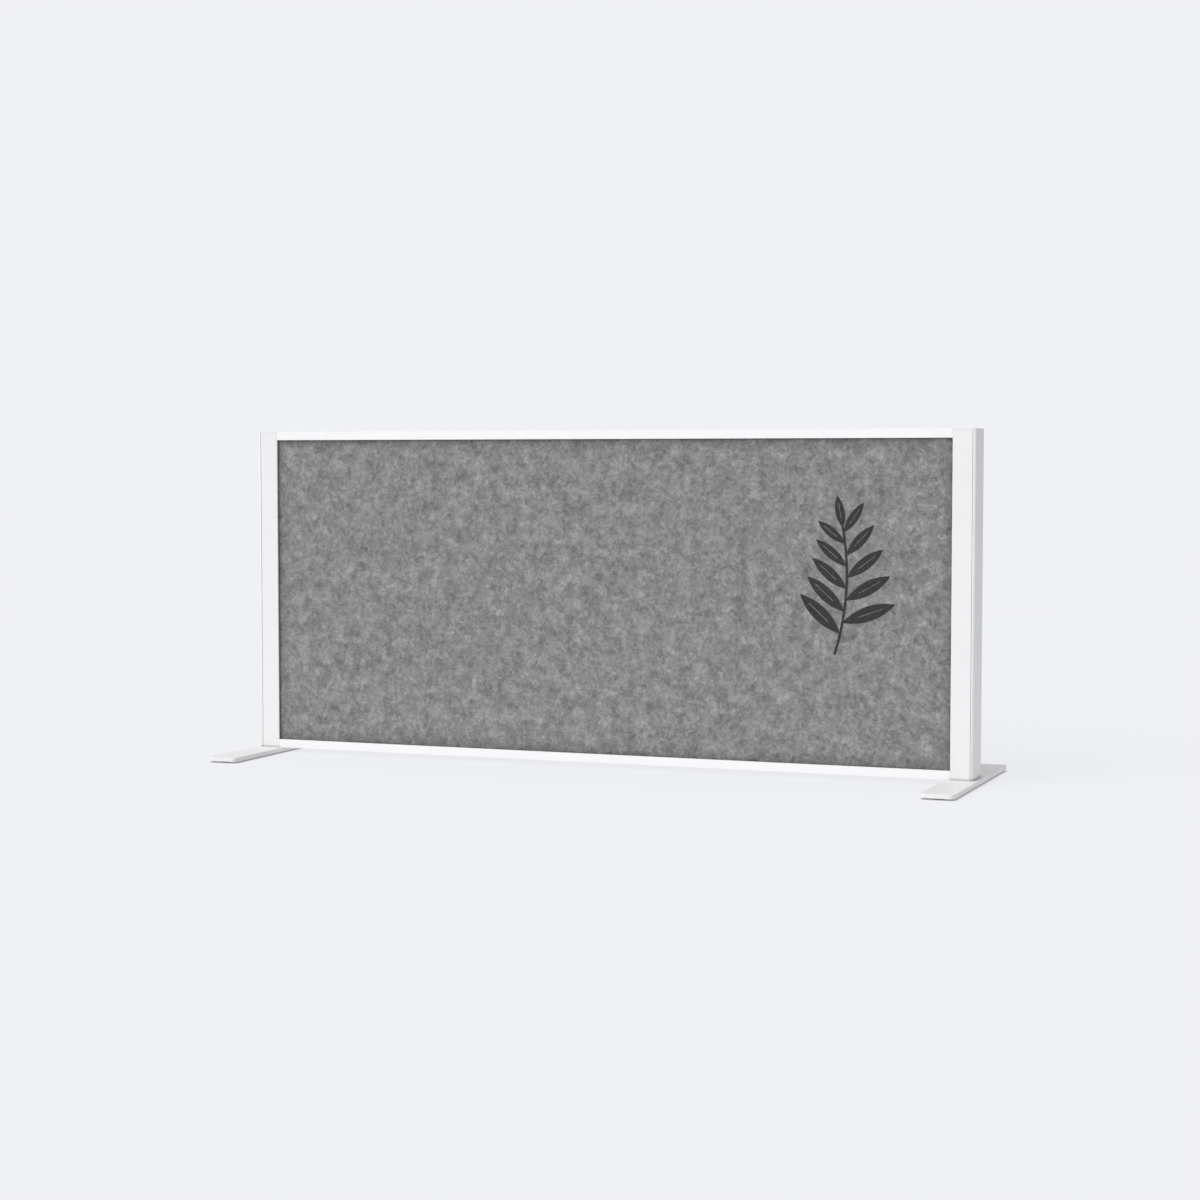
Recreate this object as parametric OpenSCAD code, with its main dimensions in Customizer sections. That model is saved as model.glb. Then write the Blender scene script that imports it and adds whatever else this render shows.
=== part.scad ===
// Free-standing desk privacy panel: a grey felt infill held in a slim
// white frame on two flat feet. Millimetres, +Z up, front towards -Y,
// origin on the desk under the middle of the panel.

/* [Frame] */
// Width of the frame over both posts
panel_w = 920; // [700:10:1400]
// Height of the frame, feet not counted
panel_h = 400; // [330:5:600]
// Depth of the frame, front to back
panel_d = 42; // [38:1:46]
// Width of each post seen from the front
post_w = 27; // [25:0.5:32]
// Height of each rail seen from the front
rail_h = 10.5; // [10:0.5:14]
// Radius of the posts' outer edges
edge_r = 3; // [1:0.25:3.5]

/* [Infill] */
// Thickness of the stiff board in the middle
core_t = 9; // [6:1:15]
// Thickness of the felt cloth on each face
fabric_t = 1; // [0.8:0.1:2]
// Height of the leaf sprig on the front
motif_h = 184; // [60:2:220]
// Thickness of the leaf sprig
motif_t = 0.4; // [0.3:0.1:1]

/* [Feet] */
// Width of each foot plate
foot_w = 38; // [32:1:80]
// Length of each foot plate, front to back
foot_l = 280; // [220:10:450]
// Thickness of each foot plate
foot_t = 5; // [4:0.5:8]
// Radius of the foot plates' corners
foot_r = 6; // [2:0.5:15]
// Diameter of the pads under the feet
pad_d = 20; // [12:1:24]
// Thickness of the pads under the feet
pad_t = 1.5; // [1:0.5:4]

/* [Hidden] */

$fn = 64;
half_d = panel_d / 2;
base_z = foot_t + pad_t;
top_z = base_z + panel_h;
inner_x = panel_w / 2 - post_w;

// Post profile, measured outwards from the edge next to the felt
lip_t = 2.5;
lip_d = 6;
web_t = 2;
wall = 2;
flange_u = post_w - 4;
cover_u = flange_u + 0.3;
port_u = lip_d + web_t + 6.5;
port_y = half_d - 6.6;
port_out_r = 4.2;
port_r = 2.5;
cap_t = 1.7;
post_h = panel_h - cap_t;

// Rail profile, measured inwards from the rail's outer face
box_h = rail_h - 3.3;
skin = 1.4;
rail_port_y = 6;
rail_port_z = box_h - 2.8;
rail_port_r = 1.5;
rail_hole_r = 1.7;
tongue_cut = 1.8;
channel_y = half_d - lip_t;

// Infill, from its middle plane outwards
spacer_t = 1.2;
infill_w = 2 * (inner_x + lip_d - 1);
infill_z = base_z + box_h + spacer_t;
infill_h = top_z - box_h - 0.5 - infill_z;
face_y = channel_y - 0.5;
pad_y = face_y - fabric_t;

// Leaf sprig position on the front face
motif_x = inner_x * 0.715;
motif_z = base_z + panel_h * 0.578;

// Screws
foot_screw_l = 30;
rail_screw_l = 22;

// ---- profiles ----

module post_outline() {
    translate([0, -half_d]) square([post_w - edge_r, panel_d]);
    translate([0, edge_r - half_d]) square([post_w, panel_d - 2 * edge_r]);
    for (s = [-1, 1])
        translate([post_w - edge_r, s * (half_d - edge_r)]) circle(edge_r);
}

module post_profile() {
    difference() {
        union() {
            for (s = [0, 1]) mirror([0, s]) {
                translate([0, channel_y]) square([lip_d + web_t, lip_t]);
                translate([lip_d, half_d - wall]) square([flange_u - lip_d, wall]);
                translate([port_u, port_y]) circle(port_out_r);
                translate([port_u - 1.5, port_y]) square([3, half_d - wall / 2 - port_y]);
            }
            translate([lip_d, -channel_y - 0.5]) square([web_t, 2 * channel_y + 1]);
        }
        for (s = [-1, 1]) translate([port_u, s * port_y]) circle(port_r);
    }
}

module rail_profile() {
    difference() {
        union() {
            difference() {
                translate([-half_d, 0]) square([panel_d, box_h]);
                translate([skin - half_d, skin]) square([panel_d - 2 * skin, box_h - 2 * skin]);
            }
            for (s = [-1, 1]) translate([s * rail_port_y, rail_port_z]) circle(2.3);
            for (s = [0, 1]) mirror([s, 0]) translate([channel_y, 0]) square([lip_t, rail_h]);
        }
        for (s = [-1, 1]) translate([s * rail_port_y, rail_port_z]) circle(rail_port_r);
    }
}

// ---- shared pieces ----

module post() {
    difference() {
        translate([0, 0, base_z]) linear_extrude(post_h) post_profile();
        for (s = [-1, 1], z = [base_z + rail_port_z, top_z - rail_port_z])
            translate([lip_d - 1, s * rail_port_y, z]) rotate([0, 90, 0])
                cylinder(h = web_t + 2, r = rail_hole_r);
    }
}

module post_cover() {
    translate([0, 0, base_z]) {
        difference() {
            linear_extrude(post_h) post_outline();
            translate([-1, -half_d - 1, -1]) cube([cover_u + 1, panel_d + 2, post_h + 2]);
            translate([cover_u - 1, wall - half_d, -1])
                cube([post_w - wall - cover_u + 1, panel_d - 2 * wall, post_h + 2]);
        }
        // Clip legs reaching in behind the flanges
        for (s = [0, 1]) mirror([0, s, 0])
            translate([flange_u - 1.8, half_d - wall - 1.7, 0])
                cube([post_w - wall - flange_u + 2.6, 1.5, post_h]);
    }
}

module end_cap() {
    translate([0, 0, top_z - cap_t]) linear_extrude(cap_t) post_outline();
    // Hollow plug and two pins holding the cap in the post
    translate([lip_d + web_t + 3, 0, top_z - cap_t - 11]) difference() {
        translate([0, 2 - port_y + port_out_r, 0])
            cube([flange_u - lip_d - web_t - 4, 2 * (port_y - port_out_r) - 4, 11.5]);
        translate([1.5, 3.5 - port_y + port_out_r, -1])
            cube([flange_u - lip_d - web_t - 7, 2 * (port_y - port_out_r) - 7, 12]);
    }
    for (s = [-1, 1]) translate([port_u, s * port_y, top_z - cap_t - 10])
        cylinder(h = 10.5, r = port_r - 0.12);
}

module rail() {
    // Full profile between the posts, milled tongue into each post's channel
    translate([-inner_x, 0, 0]) rotate([90, 0, 90]) linear_extrude(2 * inner_x) rail_profile();
    translate([-inner_x - lip_d, 0, 0]) rotate([90, 0, 90])
        linear_extrude(2 * (inner_x + lip_d)) intersection() {
            rail_profile();
            translate([0.2 - channel_y, tongue_cut]) square([2 * channel_y - 0.4, box_h - tongue_cut]);
        }
}

module rail_screw() {
    // Pan head towards +X, its underside at the origin
    translate([-rail_screw_l, 0, 0]) rotate([0, 90, 0])
        cylinder(h = rail_screw_l + 0.5, r = rail_port_r - 0.1);
    rotate([0, 90, 0]) difference() {
        union() {
            cylinder(h = 1.1, r = 2.6);
            translate([0, 0, 1.1]) cylinder(h = 0.6, r1 = 2.6, r2 = 1.9);
        }
        for (a = [0, 90]) rotate([0, 0, a]) translate([-1.5, -0.3, 0.8]) cube([3, 0.6, 1.2]);
    }
}

module rail_screws() {
    for (s = [-1, 1], z = [base_z + rail_port_z, top_z - rail_port_z])
        translate([lip_d + web_t, s * rail_port_y, z]) rail_screw();
}

module foot_screw() {
    // Countersunk screw, point upwards, head face at the origin
    difference() {
        union() {
            cylinder(h = 2.4, r1 = 4.8, r2 = 2.4);
            translate([0, 0, 2.2]) cylinder(h = foot_screw_l - 3.2, r = 2.4);
            translate([0, 0, foot_screw_l - 1.01]) cylinder(h = 1.01, r1 = 2.4, r2 = 1.5);
        }
        translate([0, 0, -1]) cylinder(h = 3.2, r = 1.75, $fn = 6);
    }
}

module foot_screws() {
    for (s = [-1, 1]) translate([port_u, s * port_y, pad_t + 0.2]) foot_screw();
}

module foot() {
    difference() {
        translate([post_w / 2, 0, pad_t]) linear_extrude(foot_t) {
            square([foot_w - 2 * foot_r, foot_l], center = true);
            square([foot_w, foot_l - 2 * foot_r], center = true);
            for (x = [-1, 1], y = [-1, 1])
                translate([x * (foot_w / 2 - foot_r), y * (foot_l / 2 - foot_r)]) circle(foot_r);
        }
        for (s = [-1, 1]) translate([port_u, s * port_y, pad_t]) {
            translate([0, 0, -1]) cylinder(h = foot_t + 2, r = 2.8);
            translate([0, 0, -0.5]) cylinder(h = 2.8, r1 = 5.6, r2 = 2.8);
        }
    }
}

module foot_pads() {
    for (y = [-1, 1]) translate([post_w / 2, y * (foot_l / 2 - pad_d / 2 - 5), 0]) {
        cylinder(h = 0.4, r1 = pad_d / 2 - 0.4, r2 = pad_d / 2);
        translate([0, 0, 0.4]) cylinder(h = pad_t - 0.4, r = pad_d / 2);
    }
}

module on_right() {
    translate([inner_x, 0, 0]) children();
}

module on_left() {
    mirror([1, 0, 0]) on_right() children();
}

module felt_cover() {
    // Cloth over the front of a pad, its edges turned back to the board
    difference() {
        translate([-infill_w / 2, -face_y, infill_z])
            cube([infill_w, face_y - core_t / 2, infill_h]);
        translate([fabric_t - infill_w / 2, -pad_y, infill_z + fabric_t])
            cube([infill_w - 2 * fabric_t, pad_y, infill_h - 2 * fabric_t]);
    }
}

module felt_pad() {
    translate([fabric_t - infill_w / 2, -pad_y, infill_z + fabric_t])
        cube([infill_w - 2 * fabric_t, pad_y - core_t / 2, infill_h - 2 * fabric_t]);
}

// ---- leaf sprig ----

module leaf(l, w) {
    // Pointed leaf from the origin along +Y, with a slit for its midrib
    r = (l * l + w * w) / (4 * w);
    difference() {
        translate([0, l / 2]) intersection() {
            translate([r - w / 2, 0]) circle(r);
            translate([w / 2 - r, 0]) circle(r);
        }
        translate([-0.45, l * 0.3]) square([0.9, l * 0.48]);
    }
}

module sprig() {
    // Drawn 184 high about its middle; the stem is an arc of a large circle
    stem_r = 300;
    intersection() {
        translate([-stem_r, 0]) difference() {
            circle(stem_r + 1.4, $fn = 256);
            circle(stem_r - 1.4, $fn = 256);
        }
        translate([-30, -92]) square([60, 148]);
    }
    for (i = [0:4], s = [-1, 1])
        rotate_about_stem(stem_r, -13 + 5 * i + (s > 0 ? 2.5 : 0))
            rotate(-s * (60 - 4 * i)) leaf(66 - 6 * i, 17 - 1.5 * i);
    rotate_about_stem(stem_r, 10.5) leaf(38, 11);
}

module rotate_about_stem(r, a) {
    translate([-r, 0]) rotate(a) translate([r, 0]) children();
}

// ---- nodes ----

module left_post() { color("white") on_left() post(); }
module right_post() { color("white") on_right() post(); }
module left_post_cover() { color("snow") on_left() post_cover(); }
module right_post_cover() { color("snow") on_right() post_cover(); }
module left_end_cap() { color("gainsboro") on_left() end_cap(); }
module right_end_cap() { color("gainsboro") on_right() end_cap(); }
module bottom_rail() { color("whitesmoke") translate([0, 0, base_z]) rail(); }
module top_rail() { color("whitesmoke") translate([0, 0, top_z]) mirror([0, 0, 1]) rail(); }

module core_board() {
    color("burlywood") translate([-infill_w / 2, -core_t / 2, infill_z])
        cube([infill_w, core_t, infill_h]);
}

module front_acoustic_pad() { color("lightgrey") felt_pad(); }
module back_acoustic_pad() { color("lightgrey") mirror([0, 1, 0]) felt_pad(); }
module front_fabric() { color("grey") felt_cover(); }
module back_fabric() { color("grey") mirror([0, 1, 0]) felt_cover(); }

module leaf_motif() {
    color("dimgrey") translate([motif_x, -face_y, motif_z]) rotate([90, 0, 0])
        linear_extrude(motif_t) scale(motif_h / 184) sprig();
}

module setting_blocks() {
    color("black") for (s = [-1, 1])
        translate([s * infill_w / 3 - 30, -10, base_z + box_h]) cube([60, 20, spacer_t]);
}

module left_rail_screws() { color("silver") on_left() rail_screws(); }
module right_rail_screws() { color("silver") on_right() rail_screws(); }
module left_foot() { color("ghostwhite") on_left() foot(); }
module right_foot() { color("ghostwhite") on_right() foot(); }
module left_foot_screws() { color("silver") on_left() foot_screws(); }
module right_foot_screws() { color("silver") on_right() foot_screws(); }
module left_foot_pads() { color("darkslategrey") on_left() foot_pads(); }
module right_foot_pads() { color("darkslategrey") on_right() foot_pads(); }

left_post();
right_post();
left_post_cover();
right_post_cover();
left_end_cap();
right_end_cap();
top_rail();
bottom_rail();
core_board();
front_acoustic_pad();
back_acoustic_pad();
front_fabric();
back_fabric();
leaf_motif();
setting_blocks();
left_rail_screws();
right_rail_screws();
left_foot();
right_foot();
left_foot_screws();
right_foot_screws();
left_foot_pads();
right_foot_pads();
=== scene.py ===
"""Looks for the desk privacy panel: felt covers, padding, finishes, studio and camera."""

import math

import bpy
import numpy as np
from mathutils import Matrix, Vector


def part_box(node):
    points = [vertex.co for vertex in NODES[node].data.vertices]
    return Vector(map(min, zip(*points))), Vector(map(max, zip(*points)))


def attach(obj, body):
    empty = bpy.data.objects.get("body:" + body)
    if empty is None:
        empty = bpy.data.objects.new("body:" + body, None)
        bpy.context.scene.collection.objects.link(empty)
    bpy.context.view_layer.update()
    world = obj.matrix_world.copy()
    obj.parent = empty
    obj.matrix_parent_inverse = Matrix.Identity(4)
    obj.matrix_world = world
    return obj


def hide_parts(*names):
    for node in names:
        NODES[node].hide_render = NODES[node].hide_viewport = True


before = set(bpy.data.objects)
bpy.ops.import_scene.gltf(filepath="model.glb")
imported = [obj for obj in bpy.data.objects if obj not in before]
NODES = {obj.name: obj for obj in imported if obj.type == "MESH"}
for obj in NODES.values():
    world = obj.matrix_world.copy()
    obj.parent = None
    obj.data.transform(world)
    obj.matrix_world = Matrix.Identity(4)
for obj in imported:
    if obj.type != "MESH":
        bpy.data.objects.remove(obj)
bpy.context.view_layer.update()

MM = 0.001

# The opening in the frame that the felt shows through
OPEN_X = (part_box("left_post")[1].x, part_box("right_post")[0].x)
OPEN_Z = (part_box("bottom_rail")[1].z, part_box("top_rail")[0].z)

# Camera: where it looks, from which side, how far away and through what lens
LOOK_AT = Vector((-0.0033, 0.0, 0.2019))
AZIMUTH, ELEVATION = math.radians(21.36), math.radians(3.29)
DISTANCE, LENS_MM = 2.889, 71.66

# Colours, linear
STUDIO = (0.871, 0.880, 0.913)
FLOOR_ALBEDO = 0.14
FLOOR_GLOW = (0.721, 0.729, 0.761)
POST_WHITE = (0.85, 0.85, 0.848)
RAIL_WHITE = (0.93, 0.93, 0.927)
FOOT_WHITE = (0.86, 0.86, 0.858)
FELT_DARK, FELT_MID, FELT_LIGHT = 0.112, 0.243, 0.43

# Felt: the fibres' width and length and the three ways they lie, in degrees
FIBRE_WIDTH, FIBRE_LENGTH = 0.30 * MM, 3.2 * MM
FIBRE_TURNS = (17, 78, 139)
# Felt: the mottling's three sizes, and the border of painted shade along the frame
CLOUD_SIZE, CLUMP_SIZE, FLECK_SIZE = 17 * MM, 5.5 * MM, 1.3 * MM
BORDER_WIDTH, BORDER_PAINTED_SHADE = 18 * MM, 0.79

# Powder coat: how far worn edges, painted shade in joints and low dust reach
WEAR_REACH, JOINT_REACH, DUST_HEIGHT = 0.7 * MM, 4 * MM, 30 * MM

# Felt covers: mesh step, bend at the pad's edge, thickness, gap left at the board,
# and the depth round the bend from which the cloth lies flat on the pad's side
CLOTH_STEP, BEND_RADIUS, CLOTH_THICK, TURN_GAP = 5 * MM, 2.2 * MM, 0.9 * MM, 0.3 * MM
SIDE_DEPTH = 1.5 * MM
# Their sink and pull marks next to the frame, depth and reach, and a broad unevenness
SINK_DEPTH, SINK_REACH = 0.9 * MM, 9 * MM
PULL_DEPTH, PULL_REACH = 0.10 * MM, 14 * MM
BROAD_DEPTH = 0.03 * MM

# Wadding pads: mesh step, rounded edge, flat from, gap round them and unevenness
PAD_STEP, PAD_ROUND, PAD_FLAT = 9 * MM, 3.2 * MM, 5 * MM
PAD_GAP, PAD_UNEVEN = 0.35 * MM, 0.25 * MM
# How far a pad stays below its felt, and its least thickness
PAD_BELOW, PAD_LEAST = 0.05 * MM, 0.15 * MM

# Hard pieces: points this close are one, and edges sharper than this are softened
WELD_REACH, SOFTEN_ANGLE = 0.002 * MM, math.radians(35)

# Studio floor: its radius, where it fades out, how far below the feet it lies,
# and the share of its glow left under their edges, which paints a contact shadow
FLOOR_RADIUS, FADE_START, FADE_END, FLOOR_DROP = 6.0, 2.0, 5.0, 0.2 * MM
CONTACT_GLOW = 0.35

# Studio light: the dome's radius, the world's strength, and each sun's direction,
# power and spread in degrees
DOME_RADIUS, WORLD_LIGHT = 30, 0.50
SUNS = {"key": ((-1.3, -2.0, 1.5), 1.43, 50), "top": ((-0.35, -0.15, 1.0), 1.10, 60)}


# ---- node helpers ----

def material(name):
    mat = bpy.data.materials.new(name)
    mat.use_nodes = True
    return mat, mat.node_tree, mat.node_tree.nodes["Principled BSDF"]


def add(tree, kind, values=None, **settings):
    """A node with its properties set, and its inputs set or linked by name or index."""
    made = tree.nodes.new(kind)
    for key, value in settings.items():
        setattr(made, key, value)
    for key, value in (values or {}).items():
        if isinstance(value, bpy.types.NodeSocket):
            tree.links.new(value, made.inputs[key])
        else:
            made.inputs[key].default_value = value
    return made


def place(tree):
    """Position in metres in the part's own frame."""
    return add(tree, "ShaderNodeTexCoord").outputs["Object"]


def noise(tree, where, size, detail=2.0, rough=0.5, distort=0.0):
    """Soft noise from 0 to 1 whose features are about size metres across."""
    return add(tree, "ShaderNodeTexNoise", {
        "Vector": where, "Scale": 1 / size, "Detail": detail,
        "Roughness": rough, "Distortion": distort}).outputs["Fac"]


def fit(tree, value, low, high, to_low, to_high, smooth=False):
    """Carries the range low..high over to to_low..to_high, and stays inside it."""
    return add(tree, "ShaderNodeMapRange", {
        "Value": value, "From Min": low, "From Max": high, "To Min": to_low, "To Max": to_high},
        interpolation_type="SMOOTHSTEP" if smooth else "LINEAR").outputs["Result"]


def calc(tree, operation, a, b=0.0, clamp=False):
    return add(tree, "ShaderNodeMath", {0: a, 1: b},
               operation=operation, use_clamp=clamp).outputs[0]


def ramp(tree, value, stops):
    """A colour for each value. A stop's colour may be a single number, for a grey."""
    made = add(tree, "ShaderNodeValToRGB", {"Fac": value})
    band = made.color_ramp
    while len(band.elements) < len(stops):
        band.elements.new(0.5)
    for element, (at, colour) in zip(band.elements, stops):
        element.position = at
        element.color = (*colour, 1) if hasattr(colour, "__len__") else (colour,) * 3 + (1,)
    return made.outputs["Color"]


def mix(tree, share, base, other, blend="MIX"):
    return add(tree, "ShaderNodeMix", {0: share, 6: base, 7: other},
               data_type="RGBA", blend_type=blend).outputs[2]


def bump(tree, shader, height, depth, strength):
    made = add(tree, "ShaderNodeBump", {"Height": height, "Distance": depth, "Strength": strength})
    tree.links.new(made.outputs["Normal"], shader.inputs["Normal"])


def fibres(tree, where, width, length, turn):
    """Thin streaks lying in the panel's plane, turned by an angle in degrees."""
    laid = add(tree, "ShaderNodeMapping", {
        "Vector": where, "Rotation": (0, math.radians(turn), 0),
        "Scale": (width, 2 * width, length)}, vector_type="TEXTURE")
    return add(tree, "ShaderNodeTexNoise", {
        "Vector": laid.outputs["Vector"], "Scale": 1.0, "Detail": 2.0,
        "Roughness": 0.5, "Distortion": 0.9}).outputs["Fac"]


# ---- materials ----

def felt_height(tree, where):
    """Tangled fibres: three directions of streaks, the uppermost one showing."""
    layers = [fibres(tree, where, FIBRE_WIDTH, FIBRE_LENGTH, turn) for turn in FIBRE_TURNS]
    return calc(tree, "MAXIMUM", calc(tree, "MAXIMUM", layers[0], layers[1]), layers[2])


def from_frame(tree, where):
    """Distance in metres from the nearest edge of the frame's opening."""
    split = add(tree, "ShaderNodeSeparateXYZ", {0: where}).outputs
    gaps = []
    for axis, (low, high) in (("X", OPEN_X), ("Z", OPEN_Z)):
        off = calc(tree, "ABSOLUTE", calc(tree, "SUBTRACT", split[axis], (low + high) / 2))
        gaps.append(calc(tree, "SUBTRACT", (high - low) / 2, off))
    return calc(tree, "MINIMUM", *gaps)


def crevices(tree, reach):
    """1 deep in joints and inner corners, fading to 0 in the open."""
    seen = add(tree, "ShaderNodeAmbientOcclusion", {"Distance": reach}, samples=8).outputs["AO"]
    return fit(tree, seen, 0.4, 0.95, 1.0, 0.0)


def felt(name, shift):
    """Mottled grey wool felt, its pattern moved along by a shift in metres."""
    mat, tree, shader = material(name)
    where = add(tree, "ShaderNodeMapping", {
        "Vector": place(tree), "Location": (shift, 0, shift)}).outputs["Vector"]
    strands = felt_height(tree, where)
    clouds = noise(tree, where, CLOUD_SIZE, 2, 0.5, 0.4)
    clumps = noise(tree, where, CLUMP_SIZE, 3, 0.6, 0.8)
    flecks = noise(tree, where, FLECK_SIZE, 2, 0.6, 1.2)
    tone = calc(tree, "ADD", fit(tree, clouds, 0.3, 0.7, -0.16, 0.16),
                fit(tree, clumps, 0.25, 0.75, 0.22, 0.78))
    tone = calc(tree, "ADD", tone, fit(tree, flecks, 0.3, 0.7, -0.10, 0.10))
    tone = calc(tree, "ADD", tone, fit(tree, strands, 0.5, 0.75, -0.15, 0.15), clamp=True)
    colour = ramp(tree, tone, [(0.08, FELT_DARK), (0.5, FELT_MID), (0.92, FELT_LIGHT)])
    # painted shade: the felt's colour darkens towards the frame, where the lip shades the recess
    painted_border_shade = fit(tree, from_frame(tree, place(tree)), 0.0, BORDER_WIDTH, BORDER_PAINTED_SHADE, 1.0, True)
    colour = mix(tree, 1.0, colour, painted_border_shade, "MULTIPLY")
    tree.links.new(colour, shader.inputs["Base Color"])
    tree.links.new(fit(tree, strands, 0.45, 0.8, 0.96, 0.82), shader.inputs["Roughness"])
    shader.inputs["Specular IOR Level"].default_value = 0.25
    shader.inputs["Sheen Weight"].default_value = 0.18
    shader.inputs["Sheen Roughness"].default_value = 0.6
    height = calc(tree, "ADD", strands, calc(tree, "MULTIPLY", clumps, 0.8))
    bump(tree, shader, height, 0.35 * MM, 0.7)
    return mat


def worn_edges(tree, reach):
    """1 on sharp outer edges, fading to 0 within a distance in metres."""
    rounded = add(tree, "ShaderNodeBevel", {"Radius": reach}, samples=4).outputs["Normal"]
    true = add(tree, "ShaderNodeNewGeometry").outputs["Normal"]
    same = add(tree, "ShaderNodeVectorMath", {0: rounded, 1: true},
               operation="DOT_PRODUCT").outputs["Value"]
    return fit(tree, same, 0.97, 0.80, 0.0, 1.0, True)


def powder_coat(name, peel, rough, tint, joints):
    """Baked powder: orange peel, slightly uneven gloss, rubbed edges, a little dust low down.

    Painted shade takes the colour down to the given share deep in joints and inner corners.
    """
    mat, tree, shader = material(name)
    where = place(tree)
    grain = noise(tree, where, peel, 2, 0.55, 0.3)
    drift = noise(tree, where, 45 * MM, 3, 0.6)
    specks = noise(tree, where, 0.35 * MM, 1, 0.5)
    low = add(tree, "ShaderNodeSeparateXYZ", {0: where}).outputs["Z"]
    dust = calc(tree, "MULTIPLY", fit(tree, low, 0.0, DUST_HEIGHT, 0.5, 0.0, True),
                fit(tree, drift, 0.35, 0.7, 0.0, 1.0, True))
    wear = calc(tree, "MULTIPLY", worn_edges(tree, WEAR_REACH),
                fit(tree, noise(tree, where, 9 * MM, 4, 0.7), 0.42, 0.62, 0.1, 1.0, True))
    shade = [c * 0.975 for c in tint]
    grimy = [c * 0.90 for c in tint]
    rubbed = [c * 0.86 for c in tint]
    colour = ramp(tree, fit(tree, drift, 0.35, 0.65, 0, 1), [(0, shade), (1, tint)])
    colour = mix(tree, dust, colour, (*grimy, 1))
    colour = mix(tree, calc(tree, "MULTIPLY", wear, 0.6), colour, (*rubbed, 1))
    fine = fit(tree, calc(tree, "ADD", grain, specks), 0.75, 1.25, 0.955, 1.0)
    # painted shade: the colour darkens deep in joints and inner corners, where little light
    # reaches
    deep = fit(tree, crevices(tree, JOINT_REACH), 0, 1, 1.0, joints)
    colour = mix(tree, 1.0, colour, calc(tree, "MULTIPLY", fine, deep), "MULTIPLY")
    tree.links.new(colour, shader.inputs["Base Color"])
    gloss = calc(tree, "ADD", fit(tree, drift, 0.3, 0.7, rough - 0.05, rough + 0.05),
                 fit(tree, specks, 0.55, 0.75, 0.0, 0.08))
    gloss = calc(tree, "SUBTRACT", gloss, calc(tree, "MULTIPLY", wear, 0.12))
    tree.links.new(gloss, shader.inputs["Roughness"])
    height = calc(tree, "ADD", grain, calc(tree, "MULTIPLY", specks, 0.25))
    bump(tree, shader, height, 0.15 * MM, 0.8)
    return mat


def moulded(name, colours, grain_size, rough, depth):
    """Spark-textured moulded plastic or rubber."""
    mat, tree, shader = material(name)
    where = place(tree)
    grain = noise(tree, where, grain_size, 3, 0.65)
    drift = noise(tree, where, 14 * MM, 2, 0.5)
    both = calc(tree, "ADD", fit(tree, grain, 0.3, 0.7, 0.0, 0.6),
                fit(tree, drift, 0.3, 0.7, 0, 0.4))
    colour = ramp(tree, both, [(0, colours[0]), (1, colours[1])])
    tree.links.new(colour, shader.inputs["Base Color"])
    gloss = fit(tree, grain, 0.3, 0.7, rough - 0.07, rough + 0.07)
    tree.links.new(gloss, shader.inputs["Roughness"])
    bump(tree, shader, grain, depth, 0.6)
    return mat


def zinc(name):
    """Zinc plating: fine crystals under a slightly uneven shine."""
    mat, tree, shader = material(name)
    where = place(tree)
    cells = add(tree, "ShaderNodeTexVoronoi", {"Vector": where, "Scale": 1 / (0.8 * MM)})
    drift = noise(tree, where, 3 * MM, 3, 0.6)
    patch = fit(tree, cells.outputs["Distance"], 0.0, 0.8, 0.0, 1.0)
    tree.links.new(ramp(tree, drift, [(0.3, (0.52, 0.52, 0.50)), (0.7, (0.68, 0.69, 0.70))]),
                   shader.inputs["Base Color"])
    tree.links.new(fit(tree, patch, 0, 1, 0.28, 0.42), shader.inputs["Roughness"])
    shader.inputs["Metallic"].default_value = 1.0
    bump(tree, shader, noise(tree, where, 0.25 * MM, 2), 0.02 * MM, 0.5)
    return mat


def fibreboard(name):
    """Raw board: brown chips and slow changes of shade."""
    mat, tree, shader = material(name)
    where = place(tree)
    chips = noise(tree, where, 0.9 * MM, 4, 0.7, 0.6)
    drift = noise(tree, where, 25 * MM, 2, 0.5)
    tone = calc(tree, "ADD", fit(tree, chips, 0.3, 0.7, 0, 0.75),
                fit(tree, drift, 0.3, 0.7, 0, 0.25))
    tree.links.new(ramp(tree, tone, [(0, (0.30, 0.20, 0.115)), (0.55, (0.44, 0.31, 0.19)),
                                     (1, (0.60, 0.46, 0.31))]), shader.inputs["Base Color"])
    shader.inputs["Roughness"].default_value = 0.88
    bump(tree, shader, chips, 0.15 * MM, 0.6)
    return mat


def wadding(name):
    """Pressed pale wadding: hairs over soft tufts."""
    mat, tree, shader = material(name)
    where = place(tree)
    hair = felt_height(tree, where)
    tufts = noise(tree, where, 7 * MM, 4, 0.65, 0.6)
    tone = calc(tree, "ADD", fit(tree, hair, 0.45, 0.8, 0, 0.6),
                fit(tree, tufts, 0.3, 0.7, 0, 0.4))
    tree.links.new(ramp(tree, tone, [(0, 0.42), (1, 0.80)]), shader.inputs["Base Color"])
    shader.inputs["Roughness"].default_value = 0.95
    bump(tree, shader, calc(tree, "ADD", hair, tufts), 0.5 * MM, 0.7)
    return mat


def flock_print(name):
    """Dark transfer pressed into the felt, so the fibres still show through it."""
    mat, tree, shader = material(name)
    where = place(tree)
    strands = felt_height(tree, where)
    wear = noise(tree, where, 3 * MM, 4, 0.7, 0.5)
    tone = calc(tree, "ADD", fit(tree, strands, 0.5, 0.8, 0, 0.5),
                fit(tree, wear, 0.4, 0.75, 0, 0.5))
    tree.links.new(ramp(tree, tone, [(0.1, (0.012, 0.012, 0.014)), (1, (0.075, 0.075, 0.08))]),
                   shader.inputs["Base Color"])
    shader.inputs["Roughness"].default_value = 0.8
    bump(tree, shader, calc(tree, "ADD", strands, wear), 0.2 * MM, 0.6)
    return mat


# ---- soft pieces ----

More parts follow.
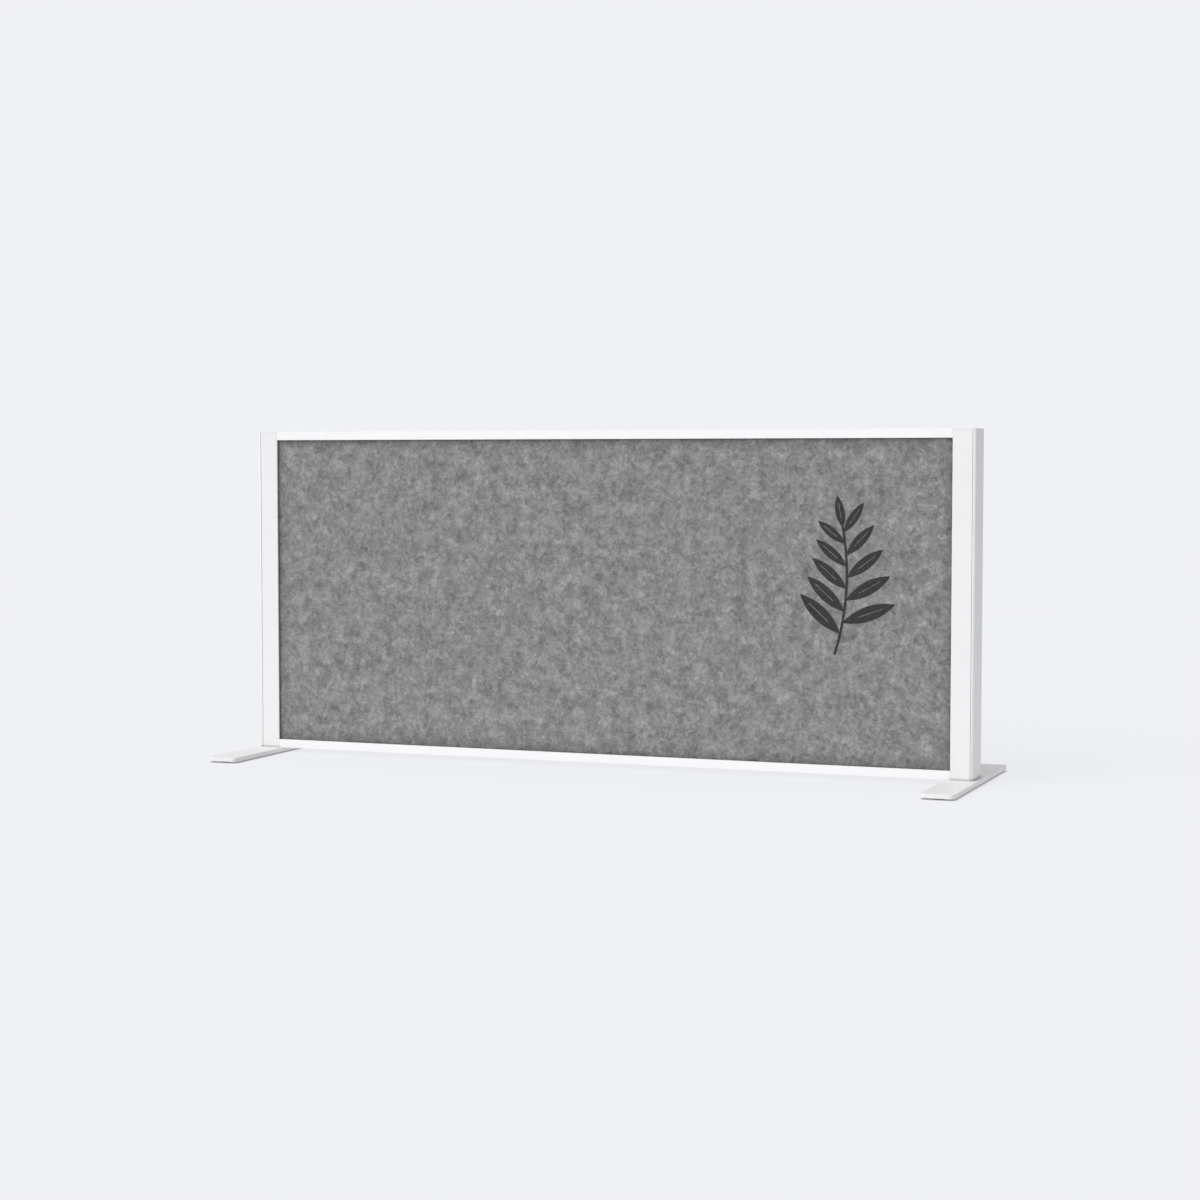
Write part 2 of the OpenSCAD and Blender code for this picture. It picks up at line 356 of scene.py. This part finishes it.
def mesh_object(name, vertices, faces, mat):
    mesh = bpy.data.meshes.new(name)
    mesh.from_pydata([tuple(v) for v in vertices], [], faces)
    mesh.update()
    for polygon in mesh.polygons:
        polygon.use_smooth = True
    mesh.materials.append(mat)
    made = bpy.data.objects.new(name, mesh)
    bpy.context.scene.collection.objects.link(made)
    return made


def cloth_lines(half, radius, drop, step):
    """Distances across the cloth from its middle: the flat, the bend and the turned edge."""
    flat = half - radius
    bend = radius * math.pi / 2
    turned = drop - radius
    inner = np.linspace(-flat, flat, max(8, round(2 * flat / step)))
    outer = np.concatenate([flat + np.linspace(0, bend, 5)[1:],
                            flat + bend + np.linspace(0, turned, 4)[1:]])
    return np.concatenate([-outer[::-1], inner, outer]), flat + bend


def wrapped(line, half, radius):
    """Where a point of the flat cloth goes: sideways, and down round the pad's edge."""
    flat = half - radius
    past = np.abs(line) - flat
    angle = np.clip(past / radius, 0, math.pi / 2)
    across = np.where(past <= 0, line, np.sign(line) * (flat + radius * np.sin(angle)))
    down = radius * (1 - np.cos(angle)) + np.maximum(past - radius * math.pi / 2, 0)
    return across, np.where(past <= 0, 0.0, down)


def pillow(x, z, half_x, half_z, phase):
    """How far the stretched cloth sinks towards the frame, with its slight pull marks."""
    near_x, near_z = half_x - np.abs(x), half_z - np.abs(z)
    sunk = SINK_DEPTH * (np.exp(-(near_x / SINK_REACH) ** 2) + np.exp(-(near_z / SINK_REACH) ** 2))
    pull_z = np.sin(x / (7.3 * MM) + 1.3 * np.sin(x / (31 * MM) + phase))
    pull_x = np.sin(z / (6.7 * MM) + 1.1 * np.sin(z / (27 * MM) + phase))
    pulls = pull_x * np.exp(-near_x / PULL_REACH) + pull_z * np.exp(-near_z / PULL_REACH)
    broad = np.sin(x / (61 * MM) + phase) * np.sin(z / (47 * MM) + 2 * phase)
    return sunk + PULL_DEPTH * pulls + BROAD_DEPTH * broad


def grid_square(i, j, rows):
    """The four corners of one square in a grid numbered column by column."""
    return [i * rows + j, (i + 1) * rows + j, (i + 1) * rows + j + 1, i * rows + j + 1]


def felt_cover(name, node, mat, side, phase):
    """A cut sheet stretched over its pad, its four edges turned back and its corners cut out."""
    low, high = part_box(node)
    half_x, half_z = (high.x - low.x) / 2, (high.z - low.z) / 2
    middle_z = (high.z + low.z) / 2
    face = max(abs(low.y), abs(high.y))
    drop = high.y - low.y - TURN_GAP
    u, end_u = cloth_lines(half_x, BEND_RADIUS, drop, CLOTH_STEP)
    v, end_v = cloth_lines(half_z, BEND_RADIUS, drop, CLOTH_STEP)
    x, down_x = wrapped(u, half_x, BEND_RADIUS)
    z, down_z = wrapped(v, half_z, BEND_RADIUS)
    gx, gz = np.meshgrid(x, z, indexing="ij")
    down = np.minimum(down_x[:, None] + down_z[None, :], drop)
    sink = pillow(gx, gz, half_x, half_z, phase)
    y = side * (face - down - np.where(down > SIDE_DEPTH, 0, sink))
    points = np.stack([gx, y, gz + middle_z], -1).reshape(-1, 3)
    rows = len(z)
    faces = []
    for i in range(len(x) - 1):
        for j in range(rows - 1):
            if abs(u[i] + u[i + 1]) / 2 > end_u and abs(v[j] + v[j + 1]) / 2 > end_v:
                continue
            ring = grid_square(i, j, rows)
            faces.append(ring if side < 0 else ring[::-1])
    used = sorted({k for ring in faces for k in ring})
    renumber = {k: n for n, k in enumerate(used)}
    cover = mesh_object(name, points[used], [[renumber[k] for k in ring] for ring in faces], mat)
    thick = cover.modifiers.new("thickness", "SOLIDIFY")
    thick.thickness, thick.offset = CLOTH_THICK, -1
    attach(cover, "root")
    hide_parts(node)
    return cover, (2 * float(u[-1]), 2 * float(v[-1]))


def wadding_pad(name, node, mat, side, phase):
    """A soft pressed pad: rounded, slightly uneven, flat where it lies on the board."""
    low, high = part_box(node)
    half_x, half_z = (high.x - low.x) / 2 - PAD_GAP, (high.z - low.z) / 2 - PAD_GAP
    middle_z = (high.z + low.z) / 2
    back = min(abs(low.y), abs(high.y))
    thick = high.y - low.y - PAD_GAP
    edge = np.array([0, 0.4, 1.0, 1.9, 3.2]) * MM

    def line(half):
        flat = half - PAD_FLAT
        inner = np.linspace(-flat, flat, max(8, round(2 * half / PAD_STEP)))
        return np.concatenate([-half + edge, inner, (half - edge)[::-1]])

    def rise(near):
        return np.sqrt(1 - (1 - np.clip(near / PAD_ROUND, 0, 1)) ** 2)

    x, z = line(half_x), line(half_z)
    gx, gz = np.meshgrid(x, z, indexing="ij")
    loft = rise(half_x - np.abs(gx)) * rise(half_z - np.abs(gz))
    waves = np.sin(gx / (23 * MM) + phase) * np.sin(gz / (19 * MM) - phase)
    uneven = PAD_UNEVEN * (waves - 1)
    sink = pillow(gx, gz, half_x, half_z, phase) + PAD_BELOW
    front = side * (back + np.maximum(loft * (thick - sink + uneven), PAD_LEAST))
    rear = np.full_like(gx, side * back)
    layers = [np.stack([gx, y, gz + middle_z], -1).reshape(-1, 3) for y in (front, rear)]
    points = np.concatenate(layers)
    count, rows = gx.size, len(z)
    faces = []
    for i in range(len(x) - 1):
        for j in range(rows - 1):
            ring = grid_square(i, j, rows)
            faces.append(ring if side < 0 else ring[::-1])
            other = [k + count for k in ring]
            faces.append(other[::-1] if side < 0 else other)
    loop = [i * rows for i in range(len(x))]
    loop += [(len(x) - 1) * rows + j for j in range(1, rows)]
    loop += [i * rows + rows - 1 for i in range(len(x) - 2, -1, -1)]
    loop += list(range(rows - 2, 0, -1))
    for a, b in zip(loop, loop[1:] + loop[:1]):
        ring = [a, a + count, b + count, b]
        faces.append(ring if side < 0 else ring[::-1])
    pad = mesh_object(name, points, faces, mat)
    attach(pad, "root")
    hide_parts(node)
    return pad


# ---- CAD nodes ----

def finish_node(name, mat, edge=0.0, segments=2):
    """Gives a CAD node its material and, on hard pieces, softened edges."""
    piece = NODES[name]
    piece.data.materials.clear()
    piece.data.materials.append(mat)
    if edge:
        weld = piece.modifiers.new("weld", "WELD")
        weld.merge_threshold = WELD_REACH
        soften = piece.modifiers.new("soft_edges", "BEVEL")
        soften.width, soften.segments = edge, segments
        soften.limit_method, soften.angle_limit = "ANGLE", SOFTEN_ANGLE
        soften.use_clamp_overlap = True
        soften.harden_normals = True


# ---- studio ----

def studio_floor():
    """A pale light-table floor: mostly its own glow, so that shadows on it stay faint.

    The glow is dimmed close to the feet as a painted contact shadow, and the floor is
    clear from below, so that the underside of the object can be looked at.
    """
    mat, tree, shader = material("studio_floor")
    where = place(tree)
    flat = add(tree, "ShaderNodeVectorMath", {0: where}, operation="LENGTH").outputs["Value"]
    grain = noise(tree, where, 60 * MM, 3, 0.5)
    tree.links.new(ramp(tree, grain, [(0.3, FLOOR_ALBEDO * 0.99), (0.7, FLOOR_ALBEDO * 1.01)]),
                   shader.inputs["Base Color"])
    shader.inputs["Roughness"].default_value = 0.9
    shader.inputs["Specular IOR Level"].default_value = 0.0
    shader.inputs["Emission Color"].default_value = (*FLOOR_GLOW, 1)
    # painted contact shadow: the glow is dimmed where the feet and rails hide the floor
    tree.links.new(fit(tree, crevices(tree, JOINT_REACH), 0, 1, 1.0, CONTACT_GLOW),
                   shader.inputs["Emission Strength"])
    below = add(tree, "ShaderNodeNewGeometry").outputs["Backfacing"]
    fade = fit(tree, flat, FADE_START, FADE_END, 1.0, 0.0, True)
    tree.links.new(calc(tree, "MULTIPLY", fade, calc(tree, "SUBTRACT", 1.0, below)),
                   shader.inputs["Alpha"])
    count = 96
    turns = [2 * math.pi * k / count for k in range(count)]
    ring = [(FLOOR_RADIUS * math.cos(turn), FLOOR_RADIUS * math.sin(turn), -FLOOR_DROP)
            for turn in turns]
    return mesh_object("studio_floor", ring, [list(range(count))], mat)


def studio_dome():
    """The pale surroundings that the camera sees. They don't light the object."""
    mat = bpy.data.materials.new("studio_dome")
    mat.use_nodes = True
    tree = mat.node_tree
    tree.nodes.clear()
    glow = add(tree, "ShaderNodeEmission", {"Color": (*STUDIO, 1), "Strength": 1.0})
    out = add(tree, "ShaderNodeOutputMaterial")
    tree.links.new(glow.outputs[0], out.inputs["Surface"])
    bpy.ops.mesh.primitive_uv_sphere_add(segments=48, ring_count=24, radius=DOME_RADIUS)
    dome = bpy.context.object
    dome.name = "studio_dome"
    dome.data.materials.append(mat)
    dome.visible_diffuse = dome.visible_glossy = dome.visible_shadow = False
    dome.visible_transmission = dome.visible_volume_scatter = False
    return dome


def soft_sun(name, towards_light, power, spread):
    """An even, far-off light whose shadows have wide soft edges."""
    data = bpy.data.lights.new(name, "SUN")
    data.energy, data.angle = power, math.radians(spread)
    lamp = bpy.data.objects.new(name, data)
    lamp.rotation_mode = "QUATERNION"
    lamp.rotation_quaternion = Vector(towards_light).to_track_quat("Z", "Y")
    bpy.context.scene.collection.objects.link(lamp)
    return lamp


def surroundings(strength):
    world = bpy.data.worlds.new("studio")
    world.use_nodes = True
    back = world.node_tree.nodes["Background"]
    back.inputs["Color"].default_value = (0.985, 0.99, 1.0, 1)
    back.inputs["Strength"].default_value = strength
    bpy.context.scene.world = world


def camera():
    data = bpy.data.cameras.new("camera")
    data.lens, data.sensor_width = LENS_MM, 36
    made = bpy.data.objects.new("camera", data)
    back = Vector((math.sin(AZIMUTH) * math.cos(ELEVATION),
                   -math.cos(AZIMUTH) * math.cos(ELEVATION), math.sin(ELEVATION)))
    made.location = LOOK_AT + back * DISTANCE
    made.rotation_mode = "QUATERNION"
    made.rotation_quaternion = (-back).to_track_quat("-Z", "Y")
    bpy.context.scene.collection.objects.link(made)
    bpy.context.scene.camera = made


# ---- build ----

FRONT_FELT, BACK_FELT = felt("grey_felt_front", 0.0), felt("grey_felt_back", 3.7)
WADDING = wadding("acoustic_wadding")
for tag, side, mat, phase in (("front", -1, FRONT_FELT, 0.4), ("back", 1, BACK_FELT, 2.1)):
    pad = wadding_pad(tag + "_wadding", tag + "_acoustic_pad", WADDING, side, phase)
    cover, cut = felt_cover(tag + "_felt", tag + "_fabric", mat, side, phase)

POST_COAT = powder_coat("post_powder_coat", 0.9 * MM, 0.44, POST_WHITE, joints=0.45)
COVER_COAT = powder_coat("cover_powder_coat", 0.9 * MM, 0.46, POST_WHITE, joints=0.45)
RAIL_COAT = powder_coat("rail_powder_coat", 0.9 * MM, 0.43, RAIL_WHITE, joints=0.8)
FOOT_COAT = powder_coat("foot_powder_coat", 1.3 * MM, 0.50, FOOT_WHITE, joints=0.8)
CAP = moulded("cap_plastic", [(0.78, 0.78, 0.77), (0.84, 0.84, 0.83)], 0.25 * MM, 0.5, 0.03 * MM)
BLOCK = moulded("black_plastic", [(0.015,) * 3, (0.035,) * 3], 0.3 * MM, 0.6, 0.03 * MM)
RUBBER = moulded("pad_rubber", [(0.02,) * 3, (0.055,) * 3], 0.4 * MM, 0.8, 0.06 * MM)
ZINC = zinc("zinc_steel")
for side in ("left", "right"):
    finish_node(side + "_post", POST_COAT, 0.30 * MM)
    finish_node(side + "_post_cover", COVER_COAT, 0.25 * MM)
    finish_node(side + "_end_cap", CAP, 0.35 * MM)
    finish_node(side + "_foot", FOOT_COAT, 0.60 * MM, 3)
    finish_node(side + "_foot_pads", RUBBER)
    finish_node(side + "_rail_screws", ZINC)
    finish_node(side + "_foot_screws", ZINC)
finish_node("top_rail", RAIL_COAT, 0.30 * MM)
finish_node("bottom_rail", RAIL_COAT, 0.30 * MM)
finish_node("core_board", fibreboard("core_fibreboard"))
finish_node("setting_blocks", BLOCK)
finish_node("leaf_motif", flock_print("dark_transfer"))

studio_floor()
studio_dome()
surroundings(WORLD_LIGHT)
for name, (towards_light, power, spread) in SUNS.items():
    soft_sun(name, towards_light, power, spread)
camera()
view = bpy.context.scene.view_settings
view.view_transform, view.look, view.exposure, view.gamma = "Standard", "None", 0.0, 1.0
